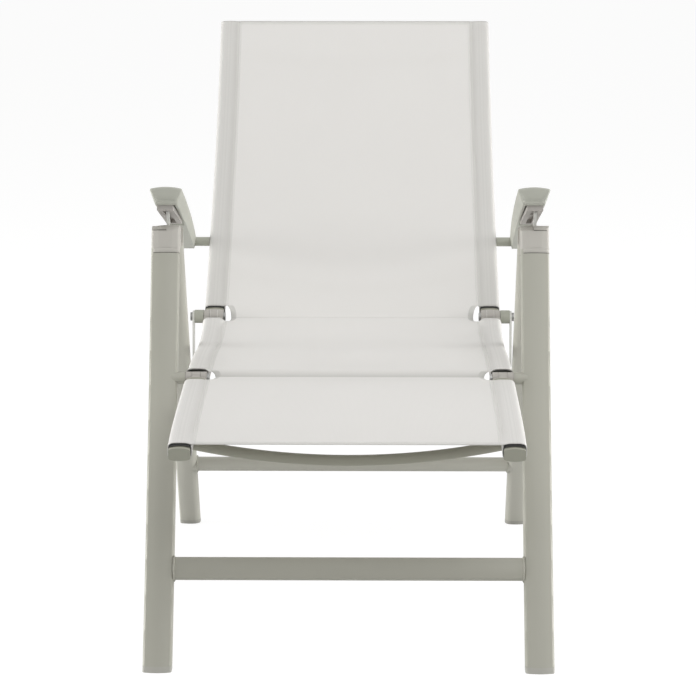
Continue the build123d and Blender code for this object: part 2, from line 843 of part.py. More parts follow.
os.makedirs("parts", exist_ok=True)
for name, shape in nodes.items():
    export_step(Pos(0, -middle_y, 0) * shape, f"parts/{name}.step")

for title, place in (
    ("leg hinge", leg_hinge), ("seat pivot", seat_pivot), ("back pivot", back_pivot),
    ("arm pivot", arm_pivot), ("link foot", link_foot()),
):
    print(title, round(place[0] - middle_y, 3), round(place[1], 3))
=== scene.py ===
"""Looks of a reclining garden armchair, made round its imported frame. Metres throughout."""

import bmesh
import bpy
import numpy as np
from mathutils import Matrix, Vector
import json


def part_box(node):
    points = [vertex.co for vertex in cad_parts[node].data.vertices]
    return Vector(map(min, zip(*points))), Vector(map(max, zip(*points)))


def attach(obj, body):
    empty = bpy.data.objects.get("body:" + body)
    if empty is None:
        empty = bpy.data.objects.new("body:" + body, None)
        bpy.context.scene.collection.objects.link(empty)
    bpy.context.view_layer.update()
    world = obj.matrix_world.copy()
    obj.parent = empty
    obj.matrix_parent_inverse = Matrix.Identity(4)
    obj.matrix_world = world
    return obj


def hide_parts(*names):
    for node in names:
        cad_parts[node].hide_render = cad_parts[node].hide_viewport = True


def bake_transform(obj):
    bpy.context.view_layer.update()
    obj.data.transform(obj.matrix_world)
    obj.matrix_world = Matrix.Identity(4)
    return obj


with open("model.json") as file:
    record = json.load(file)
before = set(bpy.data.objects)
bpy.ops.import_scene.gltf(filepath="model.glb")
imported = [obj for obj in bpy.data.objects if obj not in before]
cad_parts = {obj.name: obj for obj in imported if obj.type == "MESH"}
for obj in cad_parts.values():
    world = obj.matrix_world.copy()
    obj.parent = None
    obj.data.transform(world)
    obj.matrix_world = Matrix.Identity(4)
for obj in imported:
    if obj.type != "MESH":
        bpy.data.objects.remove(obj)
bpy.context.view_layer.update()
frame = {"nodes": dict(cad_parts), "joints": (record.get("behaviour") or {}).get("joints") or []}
nodes = frame["nodes"]
pivots = {joint["name"]: joint["pos_m"] for joint in frame["joints"]}
sides = {"left": -1, "right": 1}


# Leg tubes and crossbars
# Bent flat-oval aluminium tube under a pale warm-grey powder coat, which lies on it as a faint
# orange peel. The crossbars are coped to the legs and welded all round.


def linear(red, green, blue):
    """A display colour of 0 to 255 as the linear colour that a shader takes."""
    share = np.array([red, green, blue]) / 255
    curve = np.where(share <= 0.04045, share / 12.92, ((share + 0.055) / 1.055) ** 2.4)
    return (*curve.tolist(), 1.0)


surface_sockets = [
    ("Colour", "NodeSocketColor"), ("Roughness", "NodeSocketFloat"), ("Height", "NodeSocketFloat")
]


def new_group(title, inputs):
    """A shader group with its input and output nodes. It takes the named inputs and puts out
    the colour, roughness and height of a surface."""
    group = bpy.data.node_groups.new(title, "ShaderNodeTree")
    for name, kind, value in inputs:
        socket = group.interface.new_socket(name, in_out="INPUT", socket_type=kind)
        socket.default_value = value
    for name, kind in surface_sockets:
        group.interface.new_socket(name, in_out="OUTPUT", socket_type=kind)
    return group, group.nodes.new("NodeGroupInput"), group.nodes.new("NodeGroupOutput")


def feed(group, value, socket):
    """Gives a socket its value: a number, or another node's socket."""
    if isinstance(value, bpy.types.NodeSocket):
        group.links.new(value, socket)
    else:
        socket.default_value = value


def math_node(group, operation, *values):
    """A math node on one or two values."""
    node = group.nodes.new("ShaderNodeMath")
    node.operation = operation
    for value, socket in zip(values, node.inputs):
        feed(group, value, socket)
    return node.outputs[0]


def scaled(group, factor, low, high):
    """A node that maps a 0 to 1 value to the range from low to high."""
    node = group.nodes.new("ShaderNodeMapRange")
    for name, value in (("Value", factor), ("To Min", low), ("To Max", high)):
        feed(group, value, node.inputs[name])
    return node.outputs["Result"]


def mixed(group, blend, factor, first, second):
    """A node that blends two colours."""
    node = group.nodes.new("ShaderNodeMix")
    node.data_type, node.blend_type = "RGBA", blend
    first_colour, second_colour, result = node.inputs[6], node.inputs[7], node.outputs[2]
    feed(group, factor, node.inputs["Factor"])
    feed(group, first, first_colour)
    feed(group, second, second_colour)
    return result


def tinted(group, colour, strength):
    """A node that multiplies a colour by a grey value."""
    return mixed(group, "MULTIPLY", 1, colour, strength)


def noise(group, place, scale, detail):
    """A noise texture's value."""
    node = group.nodes.new("ShaderNodeTexNoise")
    for name, value in (("Vector", place), ("Scale", scale), ("Detail", detail)):
        feed(group, value, node.inputs[name])
    return node.outputs["Fac"]


grain, grain_in, grain_out = new_group(
    "fine_grain",
    [
        ("Colour", "NodeSocketColor", (0.5, 0.5, 0.5, 1)),
        ("Grain Scale", "NodeSocketFloat", 900.0),
        ("Cloud", "NodeSocketFloat", 0.03),
        ("Low Roughness", "NodeSocketFloat", 0.38),
        ("High Roughness", "NodeSocketFloat", 0.5),
    ],
)
cloud_scale, cloud_detail = 9.0, 3.0
rub_scale, rub_detail = 45.0, 4.0
grain_detail = 2.0
grain_place = grain.nodes.new("ShaderNodeTexCoord").outputs["Object"]
clouded = scaled(
    grain,
    noise(grain, grain_place, cloud_scale, cloud_detail),
    math_node(grain, "SUBTRACT", 1, grain_in.outputs["Cloud"]),
    math_node(grain, "ADD", 1, grain_in.outputs["Cloud"]),
)
rubbed = scaled(
    grain,
    noise(grain, grain_place, rub_scale, rub_detail),
    grain_in.outputs["Low Roughness"],
    grain_in.outputs["High Roughness"],
)
peel = noise(grain, grain_place, grain_in.outputs["Grain Scale"], grain_detail)
grain.links.new(tinted(grain, grain_in.outputs["Colour"], clouded), grain_out.inputs["Colour"])
grain.links.new(rubbed, grain_out.inputs["Roughness"])
grain.links.new(peel, grain_out.inputs["Height"])


def surfaced(title, look, strength, distance):
    """A material whose colour, roughness and relief come from a group, its shader, and the
    group's node in it."""
    material = bpy.data.materials.new(title)
    material.use_nodes = True
    tree = material.node_tree
    shader = tree.nodes["Principled BSDF"]
    group = tree.nodes.new("ShaderNodeGroup")
    group.node_tree = look
    relief = tree.nodes.new("ShaderNodeBump")
    relief.inputs["Strength"].default_value = strength
    relief.inputs["Distance"].default_value = distance
    tree.links.new(group.outputs["Colour"], shader.inputs["Base Color"])
    tree.links.new(group.outputs["Roughness"], shader.inputs["Roughness"])
    tree.links.new(group.outputs["Height"], relief.inputs["Height"])
    tree.links.new(relief.outputs["Normal"], shader.inputs["Normal"])
    return material, shader, group


def grained(title, colour, scale, cloud, roughness, bump, metallic=0.0):
    """A material of one colour with the fine grain group on it."""
    material, shader, group = surfaced(title, grain, 1.0, bump)
    shader.inputs["Metallic"].default_value = metallic
    group.inputs["Colour"].default_value = linear(*colour)
    group.inputs["Grain Scale"].default_value = scale
    group.inputs["Cloud"].default_value = cloud
    group.inputs["Low Roughness"].default_value = roughness[0]
    group.inputs["High Roughness"].default_value = roughness[1]
    return material


def coat(names, material):
    """Gives CAD nodes a material."""
    for name in names:
        nodes[name].data.materials.clear()
        nodes[name].data.materials.append(material)


def both(*stems):
    """The left and right names of paired nodes."""
    return [f"{stem}_{side}" for stem in stems for side in sides]


def middle_pivot(joint):
    """The place of a joint's axis in the middle of the chair."""
    return np.array(pivots[joint]) * (0, 1, 1)


leg_coat = grained("leg_powder_coat", (172, 171, 160), 1300.0, 0.018, (0.42, 0.52), 0.00003)
# The rear legs, rear crossbar and link bosses take a lighter copy of the same powder coat: painted
# light, for the brighter light on the rear frame.
rear_coat_painted_light = grained("rear_powder_coat", (188, 187, 177), 1300.0, 0.018, (0.42, 0.52), 0.00003)
coat([*both("front_leg"), "front_crossbar", "seat_brackets"], leg_coat)
coat([*both("rear_leg"), "rear_crossbar", "link_bosses"], rear_coat_painted_light)


def made_mesh(title, grids, material):
    """Joins grids of points, each with its map in metres, into one smooth mesh without doubles."""
    points, faces, maps, count = [], [], [], 0
    for grid, chart in grids:
        rows, columns = grid.shape[:2]
        index = count + np.arange(rows * columns).reshape(rows, columns)
        corners = [index[:-1, :-1], index[:-1, 1:], index[1:, 1:], index[1:, :-1]]
        faces.append(np.stack(corners, axis=-1).reshape(-1, 4))
        points.append(grid.reshape(-1, 3))
        maps.append(chart.reshape(-1, 2))
        count += rows * columns
    points, faces, maps = np.concatenate(points), np.concatenate(faces), np.concatenate(maps)
    mesh = bpy.data.meshes.new(title)
    mesh.from_pydata(points.tolist(), [], faces.tolist())
    layer = mesh.uv_layers.new(name="cloth")
    layer.data.foreach_set("uv", maps[faces.reshape(-1)].astype(np.float32).ravel())
    work = bmesh.new()
    work.from_mesh(mesh)
    bmesh.ops.remove_doubles(work, verts=work.verts, dist=1e-6)
    bmesh.ops.dissolve_degenerate(work, edges=work.edges, dist=1e-7)
    bmesh.ops.recalc_face_normals(work, faces=work.faces)
    work.to_mesh(mesh)
    work.free()
    mesh.shade_smooth()
    mesh.materials.append(material)
    piece = bpy.data.objects.new(title, mesh)
    bpy.context.scene.collection.objects.link(piece)
    return piece


def flat_map(grid):
    """A map for a grid that needs none of its own: row and column distances, roughly."""
    down = np.linalg.norm(np.diff(grid, axis=0, prepend=grid[:1]), axis=2).cumsum(axis=0)
    across = np.linalg.norm(np.diff(grid, axis=1, prepend=grid[:, :1]), axis=2).cumsum(axis=1)
    return np.stack([across, down], axis=-1)


def bead(path, normal, width, height, around, closed=False, swell=1.0):
    """A bead along a path: an ellipse of width by height, square to the path, its height along
    the normal, all times the swell. Open ends close in a point half a height further on."""
    normal = np.broadcast_to(np.asarray(normal, float), path.shape)
    if closed:
        ahead = np.roll(path, -1, axis=0) - np.roll(path, 1, axis=0)
    else:
        ahead = np.gradient(path, axis=0)
    ahead /= np.linalg.norm(ahead, axis=1)[:, None]
    across = np.cross(ahead, normal)
    across /= np.linalg.norm(across, axis=1)[:, None]
    upward = np.cross(across, ahead)
    turn = np.linspace(0, 2 * np.pi, around + 1)[None, :, None]
    size = np.broadcast_to(swell, len(path))[:, None, None]
    ring = (
        path[:, None]
        + across[:, None] * np.cos(turn) * size * width / 2
        + upward[:, None] * np.sin(turn) * size * height / 2
    )
    if closed:
        grid = np.concatenate([ring, ring[:1]])
    else:
        tips = [path[0] - ahead[0] * height / 2, path[-1] + ahead[-1] * height / 2]
        first, last = (np.broadcast_to(tip, ring[:1].shape) for tip in tips)
        grid = np.concatenate([first, ring, last])
    return grid, flat_map(grid)


def superellipse(turn, squareness):
    """Places across and up at angles round an outline of half size 1: a circle for squareness
    2, and squarer above that."""
    return [
        np.sign(wave) * np.abs(wave) ** (2 / squareness) for wave in (np.cos(turn), np.sin(turn))
    ]


weld_width, weld_height = 0.0042, 0.003
weld_ripple, weld_ripples, weld_steps = 0.0004, 24, 120


def weld(centre, half_depth, half_height, squareness, lean, x):
    """A weld bead round a rounded bar's end: a superellipse of the bar's size, leaned with the
    bar, whose path swells and shrinks in small ripples."""
    turn = np.linspace(0, 2 * np.pi, weld_steps, endpoint=False)
    out, up = superellipse(turn, squareness)
    depth, height = half_depth * out, half_height * up
    ripple = 1 + weld_ripple / half_depth * np.sin(weld_ripples * turn)
    y = centre[1] + ripple * (depth * np.cos(lean) - height * np.sin(lean))
    z = centre[2] + ripple * (depth * np.sin(lean) + height * np.cos(lean))
    path = np.stack([np.full_like(y, x), y, z], axis=1)
    return bead(path, (1, 0, 0), weld_width, weld_height, around=10, closed=True)


# The front leg's heading at its foot, and how far it has turned at the crossbar and at its top.
leg_heading, turn_at_crossbar, turn_at_top = 61.4, 1.5, 6.0
front_lean = np.radians(leg_heading + turn_at_crossbar - 90)
# Each crossbar's half depth, half height, squareness and lean, and how far out its welds lie.
bars = {"front": (0.0101, 0.0166, 4.5, front_lean, 0.2572), "rear": (0.0121, 0.0121, 2, 0, 0.2616)}
for title, (half_depth, half_height, squareness, lean, x) in bars.items():
    low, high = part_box(f"{title}_crossbar")
    rings = [
        weld((low + high) / 2, half_depth, half_height, squareness, lean, side * x)
        for side in sides.values()
    ]
    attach(made_mesh(f"{title}_welds", rings, leg_coat), f"{title}_frame")


# Leg hinge caps and feet
# Moulded end pieces, a shade warmer than the tubes, with the matt grain of moulded nylon. The
# feet are softer and a little darker, with scuffed soles.

cap_plastic = grained("cap_nylon", (187, 184, 177), 2200.0, 0.012, (0.5, 0.62), 0.00002)
foot_plastic = grained("foot_rubber", (176, 175, 168), 1600.0, 0.05, (0.6, 0.8), 0.00006)
coat(both("front_hinge_cap", "rear_hinge_cap"), cap_plastic)
coat(both("front_foot", "rear_foot"), foot_plastic)

# The cap's skirt over the end of the tube, the line at its edge, and the line of its step.
seam_dark = grained("parting_line", (104, 103, 97), 1500.0, 0.03, (0.6, 0.7), 0.00002)
cap_way = np.radians(leg_heading + turn_at_top)
cap_along = np.array([0, np.cos(cap_way), np.sin(cap_way)])
cap_out = np.array([0, -np.sin(cap_way), np.cos(cap_way)])
half_leg, half_deep, leg_crown, leg_corner = 0.02125, 0.0125, 0.003, 0.004
leg_middle_x, leg_outer_x = 0.27875, 0.3
hinge_rise = 0.022
cap_base = middle_pivot("leg_fold") - hinge_rise * cap_along + half_deep * cap_out
face_points, corner_points = 21, 9


def crown_height(u):
    """How far the leg's crowned face stands from its middle, at a place across it."""
    return half_deep - leg_crown * (u / half_leg) ** 2


def leg_section(middle, grow, rise):
    """The leg's outline, grown, at a rise along it: a crowned arc and a rounded corner, then
    the same turned round."""
    u = np.linspace(leg_corner - half_leg, half_leg - leg_corner, face_points)
    t = np.linspace(0, 1, corner_points)[1:]
    low = half_deep - leg_crown
    corner_u = half_leg - leg_corner * (1 - t) ** 2
    corner_h = (
        (1 - t) ** 2 * crown_height(half_leg - leg_corner)
        + 2 * t * (1 - t) * low
        + t**2 * (low - leg_corner)
    )
    half = np.concatenate([np.stack([u, crown_height(u)], 1), np.stack([corner_u, corner_h], 1)])
    outline = np.concatenate([half, -half]) * (1 + grow / half_leg, 1 + grow / half_deep)
    return middle + outline[:, :1] * (1, 0, 0) + outline[:, 1:] * cap_out + rise * cap_along


skirt_top, skirt_drop, skirt_grow, skirt_ease = 0.001, 0.0062, 0.0003, 0.0002
seam_width, seam_proud, seam_drop = 0.0011, 0.0010, 0.0004
step_rise, step_inner_x, step_inset, step_points = 0.028, 0.2775, 0.003, 24
skirt_rows = [
    (0.0, skirt_top), (skirt_grow, skirt_top - skirt_ease), (skirt_grow, -skirt_drop),
    (-skirt_ease, -skirt_drop - skirt_ease),
]
skirts, seams = [], []
for side in sides.values():
    middle = cap_base + (side * leg_middle_x, 0, 0)
    rows = [leg_section(middle, grow, rise) for grow, rise in skirt_rows]
    grid = np.stack([np.concatenate([row, row[:1]]) for row in rows])
    skirts.append((grid, flat_map(grid)))
    ring = leg_section(middle, 0, -skirt_drop - seam_drop)
    seams.append(bead(ring, cap_along, seam_proud, seam_width, around=8, closed=True))
    across = np.linspace(leg_outer_x - step_inset, step_inner_x, step_points)
    step_line = (
        cap_base + side * across[:, None] * (1, 0, 0)
        + crown_height(across - leg_middle_x)[:, None] * cap_out + step_rise * cap_along
    )
    seams.append(bead(step_line, cap_along, seam_proud, seam_width, around=8))
cap_skirts = made_mesh("cap_skirts", skirts, cap_plastic)
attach(cap_skirts, "front_frame")
seam_lines = made_mesh("cap_seams", seams, seam_dark)
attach(seam_lines, "front_frame")


# Rails and bowed cross tubes
# Lighter aluminium tube in the same powder coat, bowed away from the sitter between the rails.

# The rails' coat is a darker copy of the legs' coat: painted shade on the rails and cross tubes.
shaded_rail_coat = grained("rail_powder_coat", (146, 145, 131), 1300.0, 0.02, (0.4, 0.5), 0.00003)
coat(both("seat_rail", "back_rail", "foot_rail"), shaded_rail_coat)
coat(["seat_cross_tube", "back_cross_lower", "back_cross_upper", "foot_cross_tube"], shaded_rail_coat)


# Rail hinges, collars, plates and bolts
# Moulded knuckles that interleave on a zinc-plated bolt, with thin link plates outside whose pale
# colour paints the highlights on their edges.

knuckle_nylon = grained("knuckle_nylon", (178, 174, 168), 2200.0, 0.015, (0.45, 0.58), 0.00002)
collar_nylon = grained("collar_nylon", (165, 166, 154), 2200.0, 0.015, (0.45, 0.55), 0.00002)
end_nylon = grained("end_nylon", (152, 152, 139), 2200.0, 0.015, (0.45, 0.58), 0.00002)
zinc = grained("zinc_plate", (150, 150, 148), 700.0, 0.06, (0.3, 0.5), 0.00002, metallic=0.9)
# The pale plate colour is a painted highlight: the light caught on the thin edges of plates and
# washers.
pale_plate_highlight = grained("plate_enamel", (214, 214, 209), 900.0, 0.02, (0.35, 0.5), 0.00002)
coat(both("seat_rear_hinge", "seat_front_hinge", "back_knuckle", "foot_hinge"), knuckle_nylon)
coat(["back_end_caps", "foot_end_caps"], end_nylon)
coat(["hinge_collars"], collar_nylon)
coat(["leg_hinge_pins", "seat_bolts", "hinge_bolts", "hinge_nuts"], zinc)
coat(both("link_bolt", "arm_bolt"), zinc)
coat(["arm_tongues", *both("link_bar")], pale_plate_highlight)

# Thin washers between the knuckles of each rear hinge, in the pale plate colour that paints the
# highlights on their edges: a profile of radius and thickness, turned round the bolt.
washer_radius, washer_thickness, washer_places = 0.0109, 0.0008, (0.2226, 0.2345)
washer_reach = np.array([0, 0.9, 1, 1, 0.9, 0]) * washer_radius
washer_level = np.array([-1, -1, -0.6, 0.6, 1, 1]) * washer_thickness / 2
washer_turn = np.linspace(0, 2 * np.pi, 49)[:, None]
washers = []
for side in sides.values():
    for place in washer_places:
        grid = middle_pivot("recline") + (side * place, 0, 0) + np.stack([
            washer_level + 0 * washer_turn,
            np.cos(washer_turn) * washer_reach,
            np.sin(washer_turn) * washer_reach,
        ], axis=-1)
        washers.append((grid, flat_map(grid)))
washer_rings = made_mesh("hinge_washers", washers, pale_plate_highlight)
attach(washer_rings, "back_hinge")


# Armrests
# Moulded arms with a crowned top and drawn-in flanks; a rack lies in a channel below.

arm_nylon = grained("arm_nylon", (180, 181, 171), 2400.0, 0.012, (0.42, 0.55), 0.00002)
rack_nylon = grained("rack_nylon", (172, 168, 163), 2400.0, 0.02, (0.5, 0.6), 0.00002)
coat(both("arm_sleeve"), collar_nylon)
coat(both("arm_rack"), rack_nylon)

arm_tail, arm_middle, arm_front = -0.014, 0.206, 0.589
arm_tops, arm_bottoms = (0.031, 0.0405, 0.050), (0.024, 0.0285, 0.033)
arm_depths = (0.022, 0.0235, 0.0262)
arm_outer, arm_pitch, arm_lift = 0.3003, 16.3, 0.0096
arm_crown, arm_edge = 0.003, 0.0035
channel_start, channel_end, channel_step, channel_clear = 0.33, 0.5745, 0.002, 0.02
channel_half, channel_depth, channel_lip = 0.0122, 0.0165, 0.0012
face_lean, face_blend = 20.0, 0.03
lip_level, lip_height, lip_out = 0.0030, 0.0016, 0.0042
run_sections, edge_sections, face_rings = 24, 6, 30
arm_slope = np.radians(arm_pitch)
arm_forward = np.array([0, -np.cos(arm_slope), np.sin(arm_slope)])
arm_up = np.array([0, np.sin(arm_slope), np.cos(arm_slope)])


def arm_sizes(x):
    """The arm's top width, bottom width and depth at distances x ahead of its pivot."""
    stations = (arm_tail, arm_middle, arm_front)
    return [
        np.polyval(np.polyfit(stations, row, 2), x) for row in (arm_tops, arm_bottoms, arm_depths)
    ]


# The most of an edge's length that the cut of a corner at its end may take.
corner_limit = 0.45


def rounded(corners, radii, steps=6):
    """Closed outlines through polygons whose corners are cut by quadratic curves: corners is
    points by outlines by 2, each radius the length that its corner takes of either edge."""
    before, after = np.roll(corners, 1, axis=0), np.roll(corners, -1, axis=0)
    t = np.linspace(0, 1, steps)[:, None, None]
    pieces = []
    for corner, back, ahead, radius in zip(corners, before, after, radii):
        runs = []
        for other in (back, ahead):
            edge = other - corner
            length = np.maximum(np.linalg.norm(edge, axis=-1, keepdims=True), 1e-9)
            runs.append(corner + edge / length * np.minimum(radius, corner_limit * length))
        pieces.append((1 - t) ** 2 * runs[0] + 2 * t * (1 - t) * corner + t**2 * runs[1])
    return np.concatenate(pieces)


def arm_shell(side):
    """The armrest as rounded sections along its length. Each end closes over a quarter round
    and a flat face, and the front face leans in below and ends in a small lip."""
    runs = np.concatenate([
        np.linspace(arm_tail + arm_edge, channel_start, run_sections),
        [channel_start + channel_step],
        np.linspace(channel_start + channel_clear, channel_end - channel_step, run_sections),
        [channel_end, channel_end + channel_step, arm_front - arm_edge],
    ])
    depth = channel_depth * ((runs > channel_start) & (runs < channel_end - 1e-6))
    quarter = np.radians(np.linspace(0, 90, edge_sections + 1))[1:]
    rounding, edge_run = arm_edge * (1 - np.cos(quarter)), arm_edge * (1 - np.sin(quarter))
    behind, ahead = arm_tail + edge_run[::-1], arm_front - edge_run
    x = np.pad(np.concatenate([behind, runs, ahead]), face_rings, "edge")
    inset = np.pad(np.concatenate([rounding[::-1], 0 * runs, rounding]), face_rings, "edge")
    channel = np.pad(depth, edge_sections + face_rings)
    shrink = np.pad(np.ones(x.size - 2 * face_rings), face_rings, "linear_ramp", end_values=0)

    # Each section's half outline, from the channel's floor round to the crown, is mirrored.
    top, bottom, deep = arm_sizes(x)
    shoulder, foot, half = top / 2 - inset, bottom / 2 - inset, deep / 2 - inset
    wall = np.minimum(channel_half, foot - channel_lip)
    zero = 0 * x
    right = [
        (0.5 * wall, channel - half), (wall, channel - half), (wall, -half), (foot, -half),
        (shoulder, half - arm_crown), (shoulder / 2, half - arm_crown / 4),
    ]
    left = [(-u, w) for u, w in right[::-1]]
    right_radii = [0.001, 0.0015, 0.0008, 0.0012, 0.0035, 0.012]
    corners = np.stack([
        np.stack([u, w], axis=-1) for u, w in [(zero, channel - half), *right, (zero, half), *left]
    ])
    radii = [right_radii[0], *right_radii, right_radii[-1], *right_radii[::-1]]
    outline = np.moveaxis(rounded(corners, radii), 0, 1)
    outline = np.concatenate([outline, outline[:, :1]], axis=1) * shrink[:, None, None]

    u, w = outline[..., 0], outline[..., 1]
    x, half_depth, top = x[:, None], deep[:, None] / 2, top[:, None]
    near = np.clip((x - arm_front + face_blend) / face_blend, 0, 1)
    lean = (half_depth - w) * np.tan(np.radians(face_lean)) * near**2
    lip = lip_out * np.exp(-(((w + half_depth - lip_level) / lip_height) ** 2)) * near**8
    rise = w + arm_lift * np.clip(x / arm_front, 0, 1)
    grid = (
        middle_pivot("arm_fold_left")
        + (x - lean + lip)[..., None] * arm_forward
        + rise[..., None] * arm_up
        + (side * (arm_outer - top / 2) + u)[..., None] * (1, 0, 0)
    )
    return grid, flat_map(grid)


for name, side in sides.items():
    shell = made_mesh(f"arm_shell_{name}", [arm_shell(side)], arm_nylon)
    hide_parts(f"armrest_{name}")
    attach(shell, f"armrest_{name}")


# Slings
# One length of coated mesh over seat and back, and one over the footrest. The edges are sewn
# into sleeves round the rails, and are cut back and bound where the rail hinges need room.

rail_x, rail_rise, back_rise = 0.2285, 0.005, 0.0125
sheet_rise, seam_x, cloth_thickness = 0.0104, 0.2095, 0.0011
sleeve_half_width, sleeve_half_height, sleeve_squareness = 0.0163, 0.0108, 4
sleeve_first, sleeve_last, sleeve_ease, sleeve_girth = 150, -205, 30, 0.93
seat_heading, seat_arcs = 1.5, [(0.216, -8.5), (0.222, 16.0)]
back_heading, back_arcs = 29.5, [(0.300, 3.5), (0.420, 15.0)]
foot_heading, foot_arcs = 179.5, [(0.250, 2.0), (0.120, 7.0)]
seat_start = np.array(pivots["seat_fold"][1:]) - (0, rail_rise)


def traced(start, heading, arcs, s):
    """Places and headings at the distances s along arcs that follow on from each other: the
    chord of each arc from its start, and past either end the first or last arc runs on."""
    s = np.asarray(s, float)
    place, way = np.zeros((*s.shape, 2)), np.zeros(s.shape)
    begin, a0, origin = 0.0, np.radians(heading), np.array(start, float)
    for number, (length, turn) in enumerate(arcs):
        radius = length / np.radians(turn)
        here = (s >= begin) | (number == 0)
        a = a0 + (s - begin) / radius
        chord = radius * np.stack([np.sin(a) - np.sin(a0), np.cos(a0) - np.cos(a)], axis=-1)
        place[here], way[here] = (origin + chord)[here], a[here]
        a1 = a0 + length / radius
        origin = origin + radius * np.array([np.sin(a1) - np.sin(a0), np.cos(a0) - np.cos(a1)])
        begin, a0 = begin + length, a1
    return place, way


def lifted(line, s, x, rise):
    """Points of the chair at distances s along a side-view line, x across and rise above it."""
    s, x, rise = np.broadcast_arrays(s, x, rise)
    place, way = traced(*line, s)
    upper = np.sign(np.cos(way))
    y = place[..., 0] - upper * rise * np.sin(way)
    z = place[..., 1] + upper * rise * np.cos(way)
    return np.stack([x, y, z], axis=-1)


seat_line = (seat_start, seat_heading, seat_arcs)
foot_line = (seat_start, foot_heading, foot_arcs)
seat_length = sum(length for length, turn in seat_arcs)
foot_length = sum(length for length, turn in foot_arcs)
seat_end, seat_end_way = traced(*seat_line, seat_length)
bend = back_heading - np.degrees(seat_end_way)
bend_length = back_rise * np.radians(bend)
back_line = (seat_end, np.degrees(seat_end_way), [(bend_length, bend), *back_arcs])
back_length = bend_length + sum(length for length, turn in back_arcs)

# Crossed yarns: two rows of ridges across each other, which make peaks where they cross.
crossing_share, ridge_share = 0.6, 0.4
valley_roughness, peak_roughness = 0.75, 0.6
speckle_scale, speckle_detail, patch_scale, patch_detail = 700.0, 2.0, 5.0, 3.0
mesh_weave, weave_in, weave_out = new_group(
    "mesh_weave",
    [
        ("Colour", "NodeSocketColor", (0.8, 0.8, 0.8, 1)),
        ("Backed Colour", "NodeSocketColor", (0.7, 0.7, 0.7, 1)),
        ("Backing", "NodeSocketFloat", 0.0),
        ("Yarns per Metre", "NodeSocketFloat", 620.0),
    ],
)
cloth_chart = mesh_weave.nodes.new("ShaderNodeUVMap")
cloth_chart.uv_map = "cloth"
cloth_place = cloth_chart.outputs["UV"]
split = mesh_weave.nodes.new("ShaderNodeSeparateXYZ")
mesh_weave.links.new(cloth_place, split.inputs[0])
waves = []
for axis in ("X", "Y"):
    count = math_node(
        mesh_weave, "MULTIPLY", split.outputs[axis], weave_in.outputs["Yarns per Metre"]
    )
    sine = math_node(mesh_weave, "SINE", math_node(mesh_weave, "MULTIPLY", count, np.pi))
    waves.append(math_node(mesh_weave, "ABSOLUTE", sine))
crossing = math_node(
    mesh_weave, "MULTIPLY", math_node(mesh_weave, "MULTIPLY", *waves), crossing_share
)
ridge = math_node(mesh_weave, "MULTIPLY", math_node(mesh_weave, "MAXIMUM", *waves), ridge_share)
yarn_height = math_node(mesh_weave, "ADD", crossing, ridge)
speckle = noise(mesh_weave, cloth_place, speckle_scale, speckle_detail)
patches = noise(mesh_weave, cloth_place, patch_scale, patch_detail)
shade = mixed(
    mesh_weave, "MIX", weave_in.outputs["Backing"], weave_in.outputs["Colour"],
    weave_in.outputs["Backed Colour"],
)
# How dark and how light the yarns, the fine speckle and the broad patches make the cloth.
shading = [(yarn_height, 0.93, 1.02), (speckle, 0.96, 1.04), (patches, 0.985, 1.015)]
for factor, low, high in shading:
    shade = tinted(mesh_weave, shade, scaled(mesh_weave, factor, low, high))
yarn_roughness = scaled(mesh_weave, yarn_height, valley_roughness, peak_roughness)
mesh_weave.links.new(shade, weave_out.inputs["Colour"])
mesh_weave.links.new(yarn_roughness, weave_out.inputs["Roughness"])
mesh_weave.links.new(yarn_height, weave_out.inputs["Height"])

# Coated mesh cloth: lighter where only air is behind it than where it is doubled; a darker colour
# painted on it also stands for shade.
see_through = 0.12
mesh_cloth, cloth_shader, cloth_group = surfaced("mesh_cloth", mesh_weave, 0.5, 0.00025)
cloth_shader.inputs["Alpha"].default_value = 1 - see_through
cloth_shader.inputs["Sheen Weight"].default_value = 0.15
cloth_shader.inputs["Specular IOR Level"].default_value = 0.3
cloth_group.inputs["Colour"].default_value = linear(234, 232, 229)
cloth_group.inputs["Backed Colour"].default_value = linear(160, 160, 153)
# The mark mixes in the darker colour: over the rails and in the hems it stands partly for doubled
# cloth and partly for painted shade; at the seat's rolled front edge it is painted shade.
backing = mesh_cloth.node_tree.nodes.new("ShaderNodeAttribute")
backing.attribute_name = "backing"
mesh_cloth.node_tree.links.new(backing.outputs["Fac"], cloth_group.inputs["Backing"])
thread = grained("sewing_thread", (206, 206, 201), 1500.0, 0.02, (0.6, 0.7), 0.00003)

cut_depth = 0.0095
hem_width, hem_roll, roll_gain, hem_gain, edge_share = 0.0085, 0.0022, 4, 6, 0.07
rail_fade, hem_fade, hem_darkness, hem_overlap = 0.0015, 0.0008, 0.38, 0.0005
sheet_columns, edge_columns, sleeve_columns = 44, 12, 40


def in_cut(s, cuts):
    """How far distances along the line lie within each cut-out, from 0 to 1 in its middle. A
    cut is the place of its middle along the line and its reach to either side."""
    return [np.clip(1 - ((s - middle) / reach) ** 2, 0, 1) for middle, reach in cuts]


def half_width(s, cuts):
    """Half the sheet's width: the seam's, less a quarter ellipse at each hinge cut-out."""
    return seam_x - cut_depth * sum(np.sqrt(near) for near in in_cut(s, cuts))


def smooth(share):
    """A share from 0 to 1, eased at both ends."""
    return share * share * (3 - 2 * share)


